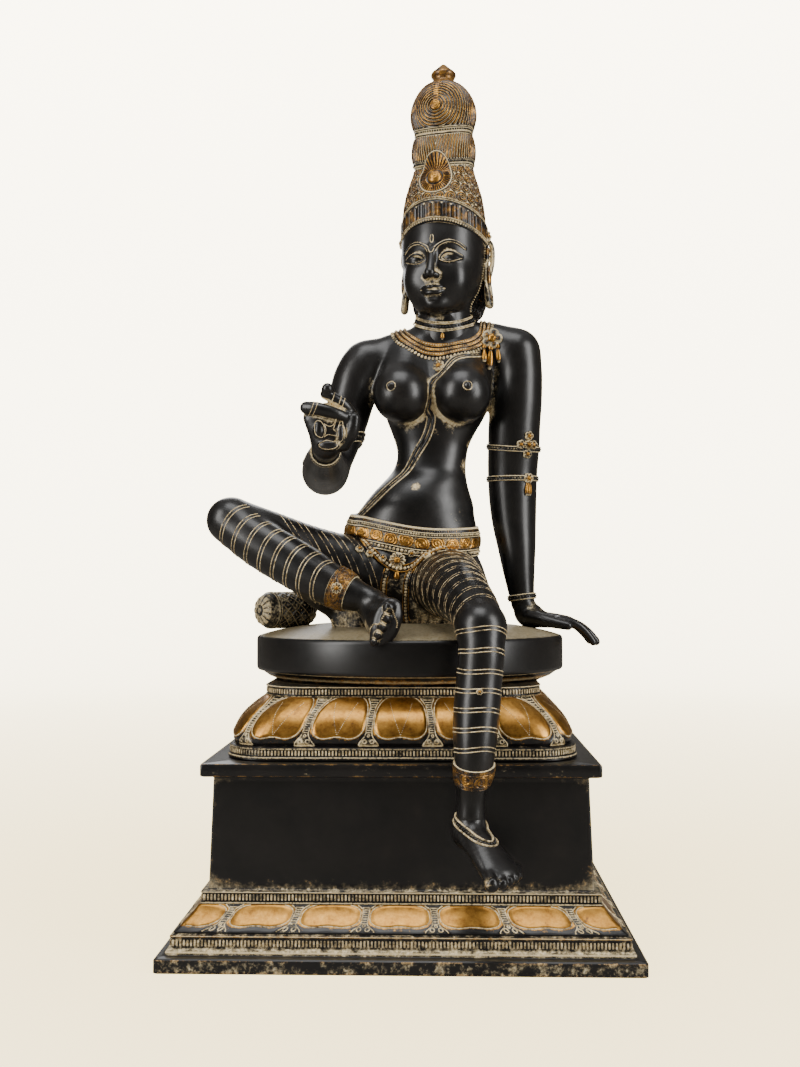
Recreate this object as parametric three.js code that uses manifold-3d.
// A seated goddess on a lotus seat and a stepped plinth, cast in brass and patinated black.
// Millimetres, +Z up, the figure faces -Y. The origin is the middle of the plinth's underside.
import * as THREE from 'three';
import { mergeVertices } from 'three/addons/utils/BufferGeometryUtils.js';
import Module from 'manifold-3d';

const wasm = await Module();
wasm.setup();

// Driving dimensions of the plinth
const FOOT_WIDTH = 486;          // foot slab, side to side
const FOOT_HEIGHT = 15;
const DEPTH_LESS_THAN_WIDTH = 26; // every course is this much shallower than it is wide
const COURSE_HEIGHT = 17;        // fillet, bead row and groove above the foot slab
const CYMA_HEIGHT = 27;          // sloping course of lotus petals
const BEAD_HEIGHT = 12;          // bead row and chamfer under the dado
const DADO_WIDTH_LOW = 394;
const DADO_WIDTH_TOP = 386;
const DADO_HEIGHT = 116;
const SLAB_WIDTH = 410;
const SLAB_HEIGHT = 13.6;
const PLINTH_CORNER = 4;         // corner radius of the square courses
const PLINTH_PETALS_PER_SIDE = 5;
const PETAL_RELIEF = 3;          // how far a petal stands out of its groove

// Driving dimensions of the lotus seat
const GAP = 0.3;                 // joint between one casting and the next
const RING_WIDTH = 372;
const RING_DEPTH = 354;
const RING_HEIGHT = 14;          // lower fillet and bead row
const RING_CORNER = 50;
const LOTUS_HEIGHT = 48;         // swelling course of petals
const COLLAR_WIDTH = 300;
const COLLAR_HEIGHT = 11;        // upper bead row
const NECK_HEIGHT = 11;          // slope from the collar out to the disc
const DISC_WIDTH = 358;
const DISC_DEPTH = 328;
const DISC_HEIGHT = 39.5;
const DISC_CROWN = 14;           // how far the top of the disc swells above its rim
const DISC_SHIFT = 5;            // the disc was cast a little to the left hand of the lotus
const SEAT_PETALS = 20;
const SEAT_SIDES = 28;

// Driving dimensions of the bolster and the figure
const BOLSTER_RADIUS = 22;
const BOLSTER_LENGTH = 66;
const BOLSTER_SIDES = 14;
const BOLSTER_TURN = 45;         // degrees from the long side of the plinth
const FIGURE_HEIGHT = 683;       // seat to finial
const DRAWN_HEIGHT = 683;        // the pose below is drawn for a figure this high
const LEG_CLEARANCE = 2.5;       // back of the hanging leg to the front of the slab
const HEAD_TURN = 15;            // degrees to the right hand
const BELT_DIP = 14;             // the belt hangs this much lower in front than behind
const BELT_TILT = 8;             // and it rises this much over the lifted thigh
const BAR_SIDES = 4;             // faces round a ring's bar

const plinthHeight = FOOT_HEIGHT + COURSE_HEIGHT + CYMA_HEIGHT + BEAD_HEIGHT + DADO_HEIGHT + SLAB_HEIGHT;
const seatHeight = RING_HEIGHT + LOTUS_HEIGHT + COLLAR_HEIGHT + NECK_HEIGHT + DISC_HEIGHT;
const seatTop = plinthHeight + GAP + seatHeight;

// Mesh helpers

function toSolid(geometry) {
  const plain = geometry.clone();
  plain.deleteAttribute('normal');
  plain.deleteAttribute('uv');
  const merged = mergeVertices(plain, 1e-4);
  const triVerts = Uint32Array.from(merged.index.array);
  const vertProperties = Float32Array.from(merged.attributes.position.array);
  return new wasm.Manifold(new wasm.Mesh({ numProp: 3, vertProperties, triVerts }));
}

function toGeometry(solid) {
  const mesh = solid.getMesh();
  const geometry = new THREE.BufferGeometry();
  geometry.setAttribute('position', new THREE.BufferAttribute(Float32Array.from(mesh.vertProperties), 3));
  geometry.setIndex(Array.from(mesh.triVerts));
  geometry.computeVertexNormals();
  return geometry;
}

function join(solids) {
  return solids.reduce((whole, solid) => whole.add(solid));
}

// Skins a stack of closed rings of equal length and closes both ends with a fan.
function skin(rings) {
  const count = rings[0].length;
  const points = rings.flat();
  const index = [];
  for (let r = 0; r + 1 < rings.length; r += 1) {
    for (let i = 0; i < count; i += 1) {
      const a = r * count + i;
      const b = r * count + (i + 1) % count;
      index.push(a, b, b + count, a, b + count, a + count);
    }
  }
  for (const [ring, start, turn] of [[rings[0], 0, -1], [rings.at(-1), (rings.length - 1) * count, 1]]) {
    const centre = ring.reduce((sum, p) => sum.add(p), new THREE.Vector3()).divideScalar(count);
    points.push(centre);
    for (let i = 0; i < count; i += 1) {
      const a = start + i;
      const b = start + (i + 1) % count;
      index.push(points.length - 1, ...(turn > 0 ? [a, b] : [b, a]));
    }
  }
  const geometry = new THREE.BufferGeometry();
  const numbers = points.flatMap((p) => p.toArray());
  geometry.setAttribute('position', new THREE.Float32BufferAttribute(numbers, 3));
  geometry.setIndex(signedVolume(points, index) < 0 ? index.reverse() : index);
  return geometry;
}

function signedVolume(points, index) {
  let sum = 0;
  for (let i = 0; i < index.length; i += 3) {
    const [a, b, c] = [points[index[i]], points[index[i + 1]], points[index[i + 2]]];
    sum += a.dot(b.clone().cross(c)) / 6;
  }
  return sum;
}

// A limb: rows are x, y, z, half width along "across", half depth square to it. Its ends are rounded,
// in one step if it is small and in two if not.
function limb(rows, { sides = 10, across = [1, 0, 0], round = 0.8, small = false } = {}) {
  const centres = rows.map(([x, y, z]) => new THREE.Vector3(x, y, z));
  const rings = [];
  const ringAt = (i, scale, slide) => {
    const before = centres[Math.max(i - 1, 0)];
    const after = centres[Math.min(i + 1, centres.length - 1)];
    const along = after.clone().sub(before).normalize();
    const deep = along.clone().cross(new THREE.Vector3(...across)).normalize();
    const wide = deep.clone().cross(along);
    const middle = centres[i].clone().addScaledVector(along, slide);
    rings.push(Array.from({ length: sides }, (_, k) => {
      const angle = (2 * Math.PI * k) / sides;
      return middle.clone()
        .addScaledVector(wide, Math.cos(angle) * rows[i][3] * scale)
        .addScaledVector(deep, Math.sin(angle) * rows[i][4] * scale);
    }));
  };
  const last = rows.length - 1;
  const reach = (i) => Math.min(rows[i][3], rows[i][4]) * round;
  const ends = small ? [[0.6, 0.75]] : [[0.45, 0.9], [0.85, 0.55]];
  for (const [scale, slide] of ends) {
    ringAt(0, scale, -reach(0) * slide);
  }
  for (let i = 0; i <= last; i += 1) {
    ringAt(i, 1, 0);
  }
  for (const [scale, slide] of ends.reverse()) {
    ringAt(last, scale, reach(last) * slide);
  }
  return toSolid(skin(rings));
}

// Level ovals, one above the other: rows are x, y, z, half width, half depth.
function stack(rows, sides, lift = () => 0) {
  return toSolid(skin(rows.map(([x, y, z, rx, ry], row) => Array.from({ length: sides }, (_, k) => {
    const angle = (2 * Math.PI * (k + 0.5)) / sides;
    const [c, s] = [Math.cos(angle), Math.sin(angle)];
    return new THREE.Vector3(x + c * rx, y + s * ry, z + lift(c, s, row));
  }))));
}

function ball([x, y, z], [rx, ry, rz], sides = 8) {
  const geometry = new THREE.SphereGeometry(1, sides, Math.round(sides * 0.6));
  geometry.rotateX(Math.PI / 2);
  geometry.scale(rx, ry, rz);
  geometry.translate(x, y, z);
  return toSolid(geometry);
}

// A round bar bent to an oval ring, leaned about the x axis and then about the y axis.
function band([x, y, z], rx, ry, bar, { leanX = 0, leanY = 0, tall = 1, sides = 14 } = {}) {
  const geometry = new THREE.TorusGeometry(1, bar / rx, BAR_SIDES, sides);
  geometry.scale(rx, ry, rx * tall);
  geometry.rotateX(THREE.MathUtils.degToRad(leanX));
  geometry.rotateY(THREE.MathUtils.degToRad(leanY));
  geometry.translate(x, y, z);
  return toSolid(geometry);
}

// Points at equal distances round a closed outline, from the middle of its front.
function walkRound(outline, shares) {
  const lengths = [0];
  for (let i = 0; i < outline.length; i += 1) {
    lengths.push(lengths[i] + outline[i].distanceTo(outline[(i + 1) % outline.length]));
  }
  const total = lengths.at(-1);
  return shares.map((share) => {
    const want = share * total;
    const i = Math.min(lengths.findIndex((length) => length > want + 1e-9), outline.length) - 1;
    const from = i < 0 ? outline.length - 1 : i;
    const part = (want - lengths[from]) / (lengths[from + 1] - lengths[from]);
    return outline[from].clone().lerp(outline[(from + 1) % outline.length], part);
  });
}

// Rectangle with rounded corners, starting at the middle of the front and running to +X.
function roundedOutline(halfX, halfY, radius, perCorner) {
  const points = [new THREE.Vector2(0, -halfY)];
  for (const [sx, sy, start] of [[1, -1, -90], [1, 1, 0], [-1, 1, 90], [-1, -1, 180]]) {
    for (let k = 0; k <= perCorner; k += 1) {
      const angle = THREE.MathUtils.degToRad(start + (90 * k) / perCorner);
      points.push(new THREE.Vector2(
        sx * (halfX - radius) + Math.cos(angle) * radius,
        sy * (halfY - radius) + Math.sin(angle) * radius,
      ));
    }
  }
  return points;
}

function ovalOutline(halfX, halfY) {
  const points = [];
  for (let k = 0; k < 180; k += 1) {
    const angle = (k / 180) * 2 * Math.PI - Math.PI / 2;
    points.push(new THREE.Vector2(Math.cos(angle) * halfX, Math.sin(angle) * halfY));
  }
  return points;
}

// Stacks courses: rows are half width, height.
function squareCourses(rows, corner) {
  return toSolid(skin(rows.map(([half, z]) => {
    const outline = roundedOutline(half, half - DEPTH_LESS_THAN_WIDTH / 2, corner, 2).slice(1);
    return outline.map((p) => new THREE.Vector3(p.x, p.y, z));
  })));
}

// Outward push of a petal at u across it and v up it: a groove, a raised rim, a hollow and a swell.
const PETAL_COLUMNS = [[0, -1], [0.14, 0.75], [0.5, 1], [0.86, 0.75]];

function petalCourse(rows, outlineOf, stemShares) {
  const shares = [];
  const pushes = [];
  stemShares.forEach((share, n) => {
    const next = n + 1 < stemShares.length ? stemShares[n + 1] : 1 + stemShares[0];
    for (const [u, push] of PETAL_COLUMNS) {
      shares.push((share + (next - share) * u) % 1);
      pushes.push(push);
    }
  });
  const rings = rows.map(([half, z, relief]) => {
    const outline = outlineOf(half);
    return walkRound(outline, shares).map((p, i) => {
      const out = 1 + (pushes[i] * relief) / Math.max(Math.abs(p.x), Math.abs(p.y));
      return new THREE.Vector3(p.x * out, p.y * out, z);
    });
  });
  return toSolid(skin(rings));
}

// Plinth

function plinth() {
  const foot = FOOT_WIDTH / 2;
  const low = DADO_WIDTH_LOW / 2;
  const top = DADO_WIDTH_TOP / 2;
  const slab = SLAB_WIDTH / 2;
  const z1 = FOOT_HEIGHT;
  const z2 = z1 + COURSE_HEIGHT;
  const z3 = z2 + CYMA_HEIGHT;
  const z4 = z3 + BEAD_HEIGHT;
  const z5 = z4 + DADO_HEIGHT;
  const z6 = z5 + SLAB_HEIGHT;
  const ledge = foot - low;
  const at = (share) => low + ledge * share;
  const rows = [
    [foot - 1, 0], [foot, 1], [foot, z1 - 1], [foot - 1, z1], [at(0.76), z1 + 1], [at(0.7), z1 + 5],
    [at(0.7), z2 - 2.5], [at(0.6), z2 - 1.5], [at(0.6), z2 + 1], [at(0.08), z3 - 1], [at(0.16), z3],
    [at(0.16), z4 - 3], [low, z4], [top, z5 - 1], [slab - 1.5, z5], [slab, z5 + 1.5], [slab, z6 - 2],
    [slab - 2, z6],
  ];
  const core = squareCourses(rows, PLINTH_CORNER);
  const sideShares = [];
  const middle = (at(0.6) + at(0.1)) / 2;
  const sides = [middle, middle - DEPTH_LESS_THAN_WIDTH / 2];
  const perimeter = 4 * (sides[0] + sides[1]);
  let walked = 0;
  for (let side = 0; side < 4; side += 1) {
    const length = 2 * sides[side % 2];
    const pitch = length / (PLINTH_PETALS_PER_SIDE + 1);
    for (let k = 0; k <= PLINTH_PETALS_PER_SIDE; k += 1) {
      sideShares.push((walked + pitch * (k + 0.5)) / perimeter - length / 2 / perimeter);
    }
    walked += sides[0] + sides[1];
  }
  const stems = sideShares.map((share) => (share + 1) % 1).sort((a, b) => a - b);
  const petals = petalCourse(
    [
      [at(0.64), z2 + 0.8, PETAL_RELIEF * 0.5], [at(0.52), z2 + CYMA_HEIGHT * 0.35, PETAL_RELIEF],
      [at(0.28), z2 + CYMA_HEIGHT * 0.75, PETAL_RELIEF], [at(0.1), z3 - 0.8, 0],
    ],
    (half) => roundedOutline(half, half - DEPTH_LESS_THAN_WIDTH / 2, PLINTH_CORNER * 2, 3),
    stems,
  );
  return core.add(petals);
}

// Lotus seat

// Height of the disc's top above its rim, at a share of the way from its middle to its rim.
function crownRise(share) {
  return DISC_CROWN * (1 - share ** 4);
}

function seatSolid(grow = 0) {
  const z0 = plinthHeight + GAP;
  const z1 = z0 + RING_HEIGHT;
  const z2 = z1 + LOTUS_HEIGHT;
  const z3 = z2 + COLLAR_HEIGHT;
  const z4 = z3 + NECK_HEIGHT;
  const z5 = z4 + DISC_HEIGHT;
  const ring = RING_WIDTH / 2;
  const collar = COLLAR_WIDTH / 2;
  const depthLess = (RING_WIDTH - RING_DEPTH) / 2;
  const square = (half) => roundedOutline(half + grow, half - depthLess + grow, RING_CORNER, 8);
  const oval = (inset) => ovalOutline(DISC_WIDTH / 2 - inset + grow, DISC_DEPTH / 2 - inset + grow)
    .map((p) => p.add(new THREE.Vector2(DISC_SHIFT, 0)));
  const even = Array.from({ length: SEAT_SIDES }, (_, i) => i / SEAT_SIDES);
  const level = (outline, z) => walkRound(outline, even).map((p) => new THREE.Vector3(p.x, p.y, z));
  const core = toSolid(skin([
    level(square(ring), z0), level(square(ring), z0 + 4.5),
    level(square(ring - 2), z0 + 5), level(square(ring - 2), z1 - 2.5), level(square(ring - 8), z1),
    level(square(collar - 2), z2 - 1), level(square(collar + 1), z2 + 0.5),
    level(square(collar - 1), z2 + 2.5), level(square(collar - 1), z3 - 2.5),
    level(square(collar + 1), z3 - 1),
    level(oval(6), z4), level(oval(1), z4 + 3), level(oval(0), z5 - 4), level(oval(3), z5 - 0.5 + grow),
    level(oval(22), z5 + crownRise(0.88) + grow), level(oval(50), z5 + crownRise(0.72) + grow),
    level(oval(100), z5 + crownRise(0.44) + grow),
  ]));
  const swell = [
    [ring - 5, z1 - 0.5, 0], [ring - 7, z1 + LOTUS_HEIGHT * 0.25, PETAL_RELIEF],
    [ring - 18, z1 + LOTUS_HEIGHT * 0.75, PETAL_RELIEF], [collar, z2 - 0.5, 0],
  ];
  const stems = Array.from({ length: SEAT_PETALS }, (_, i) => (i + 0.5) / SEAT_PETALS);
  return core.add(petalCourse(swell, square, stems));
}

// Bolster

const unit = FIGURE_HEIGHT / DRAWN_HEIGHT;
const bolsterPlace = [DISC_SHIFT - 0.41 * DISC_WIDTH, 2];

function bolsterSolid(grow = 0) {
  const r = BOLSTER_RADIUS + grow;
  const half = BOLSTER_LENGTH / 2 + grow;
  const profile = [
    [0, -half - 6], [r * 0.35, -half - 5.5], [r * 0.7, -half - 3], [r * 0.93, -half + 3], [r, -half + 12],
    [r, half - 12], [r * 0.93, half - 3], [r * 0.7, half + 3], [r * 0.35, half + 5.5], [0, half + 6],
  ].map(([x, y]) => new THREE.Vector2(x, y));
  const geometry = new THREE.LatheGeometry(profile, BOLSTER_SIDES);
  geometry.rotateZ(-Math.PI / 2);
  geometry.rotateX(Math.PI / BOLSTER_SIDES);
  geometry.rotateZ(THREE.MathUtils.degToRad(BOLSTER_TURN));
  const [x0, y0] = bolsterPlace;
  const share = Math.hypot((x0 - DISC_SHIFT) / (DISC_WIDTH / 2), y0 / (DISC_DEPTH / 2));
  geometry.translate(x0, y0, seatTop + crownRise(share) + BOLSTER_RADIUS - 1);
  return toSolid(geometry);
}

// Figure, in units of a figure DRAWN_HEIGHT high: x to its left, y backwards, z above the seat

const slabFront = SLAB_WIDTH / 2 - DEPTH_LESS_THAN_WIDTH / 2;
const shinY = -(slabFront + LEG_CLEARANCE) / unit;
const discEdge = (DISC_WIDTH / 2 + DISC_SHIFT) / unit;

function torso() {
  const body = stack([
    [20, 6, 2, 62, 52], [18, 6, 24, 74, 62], [14, 2, 60, 77, 60], [11, -2, 99, 78, 58],
    [10, -3, 103, 81, 60], [12, -5, 135, 74, 53], [12.5, -5, 138, 70, 49], [16, -6, 152, 64, 46],
    [24, -5, 178, 50, 40], [31, -1, 203, 42, 32], [34, 1, 228, 45, 33], [36, 2, 256, 58, 40],
    [38, 3, 296, 66, 42], [41, 5, 326, 68, 36], [46, 6, 352, 44, 28], [47, 4, 365, 32, 29],
    [47, 4, 367, 35, 32], [47, 3, 373, 35, 32], [46.5, 3, 375, 31, 29], [46, 2, 392, 30, 28],
  ], 13, (c, s, row) => (row > 2 && row < 7 ? -BELT_DIP * (0.5 - 0.5 * s) ** 2 - BELT_TILT * c : 0));
  const shoulders = limb([
    [-50, 2, 320, 24, 25], [-8, 6, 337, 26, 24], [45, 8, 344, 27, 23], [95, 7, 349, 26, 24],
    [134, 5, 335, 28, 26],
  ], { across: [0, 1, 0], small: true });
  const breasts = [-3, 68].map((x) => ball([x, -38, 277], [32.5, 32.5, 32.5], 10));
  return [body, shoulders, ...breasts];
}

// Head, drawn facing -Y about its own axis. The face has thirds: hairline to brow, to nose, to chin.
const HAIRLINE = 480;
const CHIN = 375;
const third = (HAIRLINE - CHIN) / 3;

function headAndCrown() {
  const brow = HAIRLINE - third;
  const noseBase = CHIN + third;
  const face = stack([
    [0, -32, CHIN, 11, 9], [0, -24, CHIN + 5, 23, 22], [0, -13, CHIN + 16, 35, 35],
    [0, -6, CHIN + 33, 43, 45], [0, -2, CHIN + 56, 47.5, 50], [0, 0, CHIN + 81, 49.5, 52],
    [0, 2, CHIN + 105, 49, 50], [0, 3, CHIN + 128, 45, 46],
  ], 12);
  const nose = limb([[0, -49, brow + 3, 4, 5], [0, -55, noseBase + 5, 7, 8]], { sides: 5, small: true });
  const lips = ball([0, -46, CHIN + third * 0.66], [13, 6, 5], 6);
  const eyes = [-19, 19].map((x) => ball([x, -44, brow - 8], [11, 6, 4.5], 6));
  const ears = [-1, 1].map((side) => limb([
    [side * 46, 16, brow + 22, 6, 8], [side * 49, 20, brow + 6, 6.5, 10], [side * 49, 20, brow - 20, 4.5, 7],
    [side * 49, 20, CHIN + 12, 7, 8],
  ], { sides: 5, small: true }));
  const hair = stack([
    [0, 22, 368, 18, 9], [0, 27, 376, 29, 17], [0, 29, 402, 33, 24], [0, 24, 446, 40, 32],
    [0, 18, 476, 43, 36],
  ], 8);
  const brim = (c, s, row) => (row < 4 ? Math.max(0, -s) ** 1.5 * (HAIRLINE - 463) : 0);
  const crown = stack([
    [0, 2, 460, 46, 46], [0, 2, 463, 50.5, 53], [0, 2, 484, 50.5, 53.5], [0, 2, 487, 48.5, 51],
    [0, 1, 509, 46.3, 48], [0, 0, 528, 42, 43], [0, 0, 542, 37.5, 38], [0, 0, 556, 34.6, 34.6],
    [0, 0, 569, 37, 37], [0, 0, 584, 36.6, 36.6], [0, 0, 596, 33.6, 33.6], [0, 0, 609, 37, 37],
    [0, 0, 619, 38.4, 38.4], [0, 0, 635, 35, 35], [0, 0, 648, 27.5, 27.5], [0, 0, 658, 14, 14],
    [0, 0, 669, 13.6, 13.6], [0, 0, 678, 7, 7], [0, 0, DRAWN_HEIGHT, 1.5, 1.5],
  ], 12, brim).translate([1, 0, 0]);
  const rosette = ball([0, -43, 536], [9, 6, 9], 8);
  const fan = ball([0, -33, 541], [20, 11, 25], 8);
  const head = join([face, nose, lips, ...eyes, ...ears, hair, crown, rosette, fan]);
  return [head.rotate([0, 0, -HEAD_TURN]).translate([46.5, 0, 0])];
}

// A raised band round a limb at one of its rows, as four rows instead of one.
function banded([x, y, z, rx, ry], [dx, dy, dz], raise) {
  return [[-1, 0], [-0.7, raise], [0.7, raise], [1, 0]]
    .map(([t, out]) => [x + dx * t, y + dy * t, z + dz * t, rx + out, ry + out]);
}

function finger(rows) {
  return limb(rows, { sides: 5, across: [0, 0, 1], small: true });
}

function restingArm() {
  const x = discEdge - 184;
  const arm = limb([
    [135, 5, 336, 28, 28], [135.5, 7, 304, 29.5, 30], [131, 11, 262, 31, 29],
    ...banded([129, 15, 222, 31, 28], [0, 0, -4], 2.5),
    ...banded([128, 18, 184, 29.5, 27], [0, 0, -4], 2.5), [129, 17, 147, 27.5, 26],
    [131, 14, 115, 24, 23], [134 + x, 11, 84, 19.5, 20],
    ...banded([138 + x, 8, 42, 14, 14.5], [0, 0, -4], 3), [140 + x, 5, 31, 14, 14],
  ], { sides: 9, small: true });
  const palm = limb([
    [143 + x, 4, 24, 14, 13], [155 + x, 2, 17, 20, 11], [184 + x, -1, 16, 22, 8.5],
  ], { sides: 7, across: [0, 1, 0], small: true });
  const fingers = [-16, -5.5, 5, 15].map((y) => finger([
    [182 + x, y, 17, 6.5, 6.5], [203 + x, y, 11, 6.2, 5.8], [221 + x, y, -11, 4.6, 4.4],
  ]));
  const thumb = finger([[152 + x, -14, 19, 7, 7], [184 + x, -29, 12, 5.4, 5.4]]);
  const flower = ball([146, -9, 224], [11, 7, 11], 6);
  return [arm, palm, ...fingers, thumb, flower];
}

function raisedArm() {
  const upper = limb([
    [-49, 2, 324, 26, 27], [-58, -3, 300, 28.5, 28], [-65, -9, 268, 27, 27],
    ...banded([-75, -17, 230, 25.5, 25], [-1, -1, -4], 2.5), [-90, -27, 193, 24.5, 24.5],
  ], { sides: 9, small: true });
  const lower = limb([
    [-91.5, -30, 188, 25.5, 25.5], [-89, -62, 193, 24, 22], [-85, -105, 197, 19, 18],
    ...banded([-80, -148, 200, 14, 13.5], [0, -4, 0], 3), [-79, -160, 202, 13.5, 13],
  ], { small: true });
  const palm = limb([
    [-79, -158, 200, 14, 12], [-77.5, -168, 214, 18, 12], [-75, -170, 231, 27, 10],
  ], { sides: 7, small: true });
  const folded = [-97, -86, -75].map((fx) => finger([
    [fx, -171, 232, 6.5, 6.5], [fx, -184, 239, 6, 6], [fx + 0.5, -193, 231, 5.2, 5.2],
  ]));
  const index = finger([
    [-56, -172, 234, 7, 6.5], [-57, -180, 245, 6.5, 6], [-69, -183, 256, 5.6, 5.2],
  ]);
  const thumb = finger([[-62, -166, 212, 7, 7], [-50, -177, 227, 6.5, 6.5], [-56, -185, 240, 5.6, 5.6]]);
  return [upper, lower, palm, ...folded, index, thumb];
}

function hangingLeg() {
  const thigh = limb([
    [48, -14, 62, 44, 42], [50, -50, 60, 42, 39], [58, -95, 52, 36, 35], [68, -135, 42, 29.5, 30],
    [77, -166, 32, 26, 26], [83, shinY + 2, 18, 24, 24.5],
  ], { sides: 9, small: true });
  const shin = limb([
    [83.5, shinY - 1, 14, 24, 24.5], [82.5, shinY - 8, -12, 23, 24], [80, shinY - 10, -38, 23.2, 24],
    [76.5, shinY - 16, -78, 23.4, 24.5], [75.2, shinY - 21, -109, 20.5, 20.5],
    [75.2, shinY - 22, -111, 22, 22], [73, shinY - 22, -137, 19, 19.5], [73, shinY - 21, -139, 15, 15.8],
    [71.5, shinY - 20, -160, 14, 15], ...banded([70.5, shinY - 20, -176, 14.5, 15.5], [-0.5, 0, -3], 3),
  ], { sides: 9, small: true });
  const foot = limb([
    [65, shinY - 16, -187, 15, 15], [71, shinY - 29, -190, 17, 17], [84, shinY - 47, -202, 19, 14],
    [97, shinY - 64, -214, 21, 10.5],
  ], { sides: 7, small: true });
  const places = [[-15, 5, 7.5], [-5.5, 6, 5], [3, 5, 4.6], [10.5, 2.5, 4.4], [17, -1, 4.4]];
  const toes = places.map(([k, reach, r]) => limb([
    [98 + k * 0.9, shinY - 64 + k * 0.45, -216, r, r],
    [100 + k * 0.9 + reach * 0.5, shinY - 74 + k * 0.45 - reach, -221 - reach * 0.3, r, r * 0.8],
  ], { sides: 5, small: true }));
  return [thigh, shin, foot, ...toes];
}

function foldedLeg() {
  const thigh = limb([
    [-8, -12, 62, 44, 42], [-60, -32, 80, 36, 34], [-112, -47, 99, 29, 28.5],
    [-160, -60, 119, 26.5, 26.5], [-195, -68, 132, 25.5, 25.5],
  ], { sides: 9, across: [0, 1, 0], small: true });
  const shin = limb([
    [-200, -72, 130, 25.5, 25.5], [-160, -82, 104, 27, 28], [-112, -93, 76, 27, 28],
    [-86, -101, 61, 23, 24], [-84, -101.5, 60, 25, 25.5], [-59, -108.5, 49.5, 19.5, 19.5],
    [-57, -109, 49, 16, 16], [-36, -113, 41, 14.5, 14.5],
  ], { sides: 9, across: [0, 1, 0], small: true });
  const foot = limb([
    [-34, -104, 32, 15, 17], [-30, -120, 28, 13, 21], [-19, -156, 23, 9, 23],
  ], { sides: 7, small: true });
  const places = [[41, 6.5, 4], [30.5, 5, 5], [21, 4.8, 4], [12, 4.6, 2], [4, 4.6, 0]];
  const toes = places.map(([z, r, reach]) => limb([
    [-18 + (z - 23) * 0.3, -154, z, r, r], [-18 + (z - 23) * 0.4, -165 - reach, z, r, r],
  ], { sides: 5, small: true }));
  return [thigh, shin, foot, ...toes];
}

function dress() {
  const buckle = ball([-6, -58, 90], [15, 10, 13]);
  const necklace = band([43, -8, 343], 54, 36, 6.5, { leanX: 28, tall: 0.7 });
  const strand = limb([
    [38, -48, 310, 5, 4], [36, -42, 262, 4, 4], [27, -36, 232, 4, 4], [12, -41, 204, 4, 4],
    [-10, -42, 176, 4, 4], [-52, -20, 134, 4, 4],
  ], { sides: 4, small: true });
  const clasp = ball([103, -18, 350], [12, 8, 12], 6);
  const tassel = limb([[100, -17, 346, 6, 5], [98, -14, 322, 7, 6]], { sides: 4, small: true });
  const apron = limb([[-12, -58, 82, 9, 6], [-14, -62, 20, 9, 8]], { sides: 5, small: true });
  return [buckle, necklace, strand, clasp, tassel, apron];
}

function figure() {
  const limbs = [restingArm(), raisedArm(), hangingLeg(), foldedLeg()];
  const parts = [torso(), headAndCrown(), ...limbs, dress()].flat();
  const whole = join(parts).scale(unit).translate([0, 0, seatTop + GAP]);
  const neighbours = seatSolid(GAP).add(bolsterSolid(GAP));
  return whole.subtract(neighbours);
}

// The scene graph

function brass(name, solid, color, roughness) {
  const material = new THREE.MeshStandardMaterial({ color, roughness, metalness: 0.9 });
  const mesh = new THREE.Mesh(toGeometry(solid), material);
  mesh.name = name;
  return mesh;
}

const group = new THREE.Group();
group.add(brass('plinth', plinth(), 0x1c1a18, 0.5));
group.add(brass('lotus_seat', seatSolid(), 0x2a2117, 0.45));
group.add(brass('bolster', bolsterSolid().subtract(seatSolid(GAP)), 0x4d4330, 0.6));
group.add(brass('figure', figure(), 0x151414, 0.4));

export default group;
